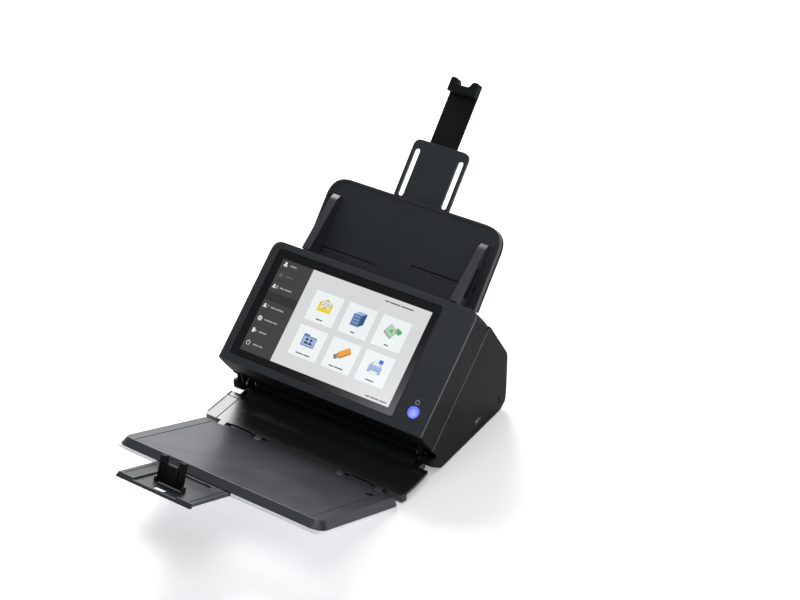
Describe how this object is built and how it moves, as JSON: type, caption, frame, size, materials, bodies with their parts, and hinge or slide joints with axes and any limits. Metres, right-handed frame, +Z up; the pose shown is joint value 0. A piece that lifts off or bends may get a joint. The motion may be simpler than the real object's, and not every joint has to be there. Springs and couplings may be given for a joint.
{
  "type": "sheet fed document scanner",
  "caption": "Desktop sheet fed document scanner with a tilted touch panel, a rear feed tray with paper guides and a folding front eject tray.",
  "frame": {"origin": "on the table, at the centre of the footprint box of the whole scanner with both trays open", "axes": "+X to the user's right, +Y to the rear, +Z up"},
  "size_m": [0.302, 0.6085, 0.3474],
  "materials": {
    "bezel_plastic": "fine grained charcoal moulding",
    "side_plastic": "fine grained dark grey moulding",
    "dark_plastic": "smooth black moulding",
    "guide_plastic": "satin dark grey moulding",
    "tray_plastic": "satin dark grey moulding",
    "shell_plastic": "satin pale silver moulding",
    "idler_plastic": "smooth pale plastic",
    "panel_glass": "black bordered touch glass",
    "sensor_glass": "clear glass over a dark sensor",
    "lit_button": "blue lit translucent plastic",
    "steel": "bright rolled steel",
    "port_metal": "plated steel",
    "rubber": "matte black rubber",
    "circuit_board": "green solder mask"
  },
  "bodies": {
    "base": {"base_pan": "dark_plastic", "left_side_cover": "side_plastic", "right_side_cover": "side_plastic", "rear_cover": "side_plastic", "front_left_foot": "rubber", "front_right_foot": "rubber", "rear_left_foot": "rubber", "rear_right_foot": "rubber", "left_frame": "steel", "right_frame": "steel", "lower_guide": "dark_plastic", "lower_sensor": "dark_plastic", "lower_sensor_glass": "sensor_glass", "drive_motor": "steel", "drive_belt": "rubber", "main_circuit_board": "circuit_board", "power_inlet": "dark_plastic", "network_port": "port_metal", "usb_side_port": "port_metal", "left_cover_pin": "steel", "right_cover_pin": "steel", "left_arm_pin": "steel", "right_arm_pin": "steel", "feed_tray": "bezel_plastic", "feed_tray_underside": "side_plastic"},
    "cover": {"front_bezel": "bezel_plastic", "touch_glass": "panel_glass", "display_module": "dark_plastic", "display_board": "circuit_board", "cover_shell": "side_plastic", "upper_sensor": "dark_plastic", "upper_sensor_glass": "sensor_glass"},
    "button": {"power_button": "lit_button"},
    "release": {"cover_release_button": "bezel_plastic"},
    "feed_drive": {"feed_shaft": "steel", "feed_roller": "rubber"},
    "registration_drive": {"registration_shaft": "steel", "registration_roller": "rubber"},
    "eject_drive": {"eject_shaft": "steel", "eject_roller": "rubber"},
    "motor_drive": {"motor_pulley": "steel"},
    "retard": {"retard_roller": "rubber"},
    "registration_idle": {"registration_idler": "idler_plastic"},
    "eject_idle": {"eject_idler": "idler_plastic"},
    "guide_left": {"left_guide": "guide_plastic"},
    "guide_right": {"right_guide": "guide_plastic"},
    "pinion": {"guide_pinion": "idler_plastic"},
    "feed_stage": {"feed_extension": "bezel_plastic"},
    "feed_tip": {"feed_extension_tip": "side_plastic"},
    "arm": {"eject_arm": "tray_plastic", "arm_left_foot": "rubber", "arm_right_foot": "rubber", "tray_hinge_rod": "steel"},
    "tray": {"eject_tray": "tray_plastic", "eject_tray_shell": "shell_plastic", "tray_catch": "steel"},
    "slider": {"eject_extension": "tray_plastic"},
    "stopper": {"eject_stopper": "dark_plastic"}
  },
  "joints": [
    {"name": "cover_hinge", "type": "hinge", "parent": "base", "child": "cover", "pos_m": [0, -0.0146, 0.027], "axis": [-1, 0, 0], "range_deg": [-45, 0]},
    {"name": "power_button_press", "type": "slide", "parent": "cover", "child": "button", "axis": [0, 0.6211, -0.7837], "range_m": [0, 0.0015], "stiffness_N_per_m": 400, "springref_m": -0.0005},
    {"name": "cover_release_press", "type": "slide", "parent": "base", "child": "release", "axis": [1, 0, 0], "range_m": [0, 0.003], "stiffness_N_per_m": 500, "springref_m": -0.0005},
    {"name": "registration_turn", "type": "hinge", "parent": "base", "child": "registration_drive", "pos_m": [0, 0.07369, 0.09972], "axis": [1, 0, 0], "continuous": true},
    {"name": "feed_turn", "type": "hinge", "parent": "base", "child": "feed_drive", "pos_m": [0, 0.09437, 0.11228], "axis": [1, 0, 0], "continuous": true},
    {"name": "eject_turn", "type": "hinge", "parent": "base", "child": "eject_drive", "pos_m": [0, 0.02354, 0.05997], "axis": [1, 0, 0], "continuous": true},
    {"name": "motor_turn", "type": "hinge", "parent": "base", "child": "motor_drive", "pos_m": [0, 0.0374, 0.032], "axis": [1, 0, 0], "continuous": true},
    {"name": "retard_turn", "type": "hinge", "parent": "cover", "child": "retard", "pos_m": [0, 0.08201, 0.12787], "axis": [1, 0, 0], "continuous": true},
    {"name": "registration_idler_turn", "type": "hinge", "parent": "cover", "child": "registration_idle", "pos_m": [0, 0.0655, 0.11007], "axis": [1, 0, 0], "continuous": true},
    {"name": "eject_idler_turn", "type": "hinge", "parent": "cover", "child": "eject_idle", "pos_m": [0, 0.01534, 0.07031], "axis": [1, 0, 0], "continuous": true},
    {"name": "right_guide_slide", "type": "slide", "parent": "base", "child": "guide_right", "axis": [1, 0, 0], "range_m": [-0.077, 0]},
    {"name": "left_guide_slide", "type": "slide", "parent": "base", "child": "guide_left", "axis": [1, 0, 0], "range_m": [0, 0.077]},
    {"name": "guide_pinion_turn", "type": "hinge", "parent": "base", "child": "pinion", "pos_m": [0, 0.1282, 0.16364], "axis": [0, -0.7224, 0.6915], "range_deg": [0, 1030]},
    {"name": "feed_extension_slide", "type": "slide", "parent": "base", "child": "feed_stage", "axis": [0, -0.6915, -0.7224], "range_m": [0, 0.078]},
    {"name": "feed_tip_slide", "type": "slide", "parent": "feed_stage", "child": "feed_tip", "axis": [0, -0.6915, -0.7224], "range_m": [0, 0.066]},
    {"name": "arm_fold", "type": "hinge", "parent": "base", "child": "arm", "pos_m": [0, -0.0116, 0.0134], "axis": [-1, 0, 0], "range_deg": [0, 50]},
    {"name": "tray_fold", "type": "hinge", "parent": "arm", "child": "tray", "pos_m": [0, -0.0851, 0.009], "axis": [-1, 0, 0], "range_deg": [0, 44]},
    {"name": "eject_extension_slide", "type": "slide", "parent": "tray", "child": "slider", "axis": [0, -0.9056, 0.4242], "range_m": [-0.041, 0]},
    {"name": "stopper_fold", "type": "hinge", "parent": "slider", "child": "stopper", "pos_m": [-0.028, -0.27752, 0.09413], "axis": [-1, 0, 0], "range_deg": [0, 90]}
  ],
  "couplings": [
    {"joint": "feed_turn", "follows": "registration_turn", "ratio": 1},
    {"joint": "eject_turn", "follows": "registration_turn", "ratio": 1},
    {"joint": "motor_turn", "follows": "registration_turn", "ratio": 1},
    {"joint": "retard_turn", "follows": "registration_turn", "ratio": -1.2941},
    {"joint": "registration_idler_turn", "follows": "registration_turn", "ratio": -1.6667},
    {"joint": "eject_idler_turn", "follows": "registration_turn", "ratio": -1.6667},
    {"joint": "left_guide_slide", "follows": "right_guide_slide", "ratio": -1},
    {"joint": "guide_pinion_turn", "follows": "right_guide_slide", "rad_per_m": -232.56}
  ]
}
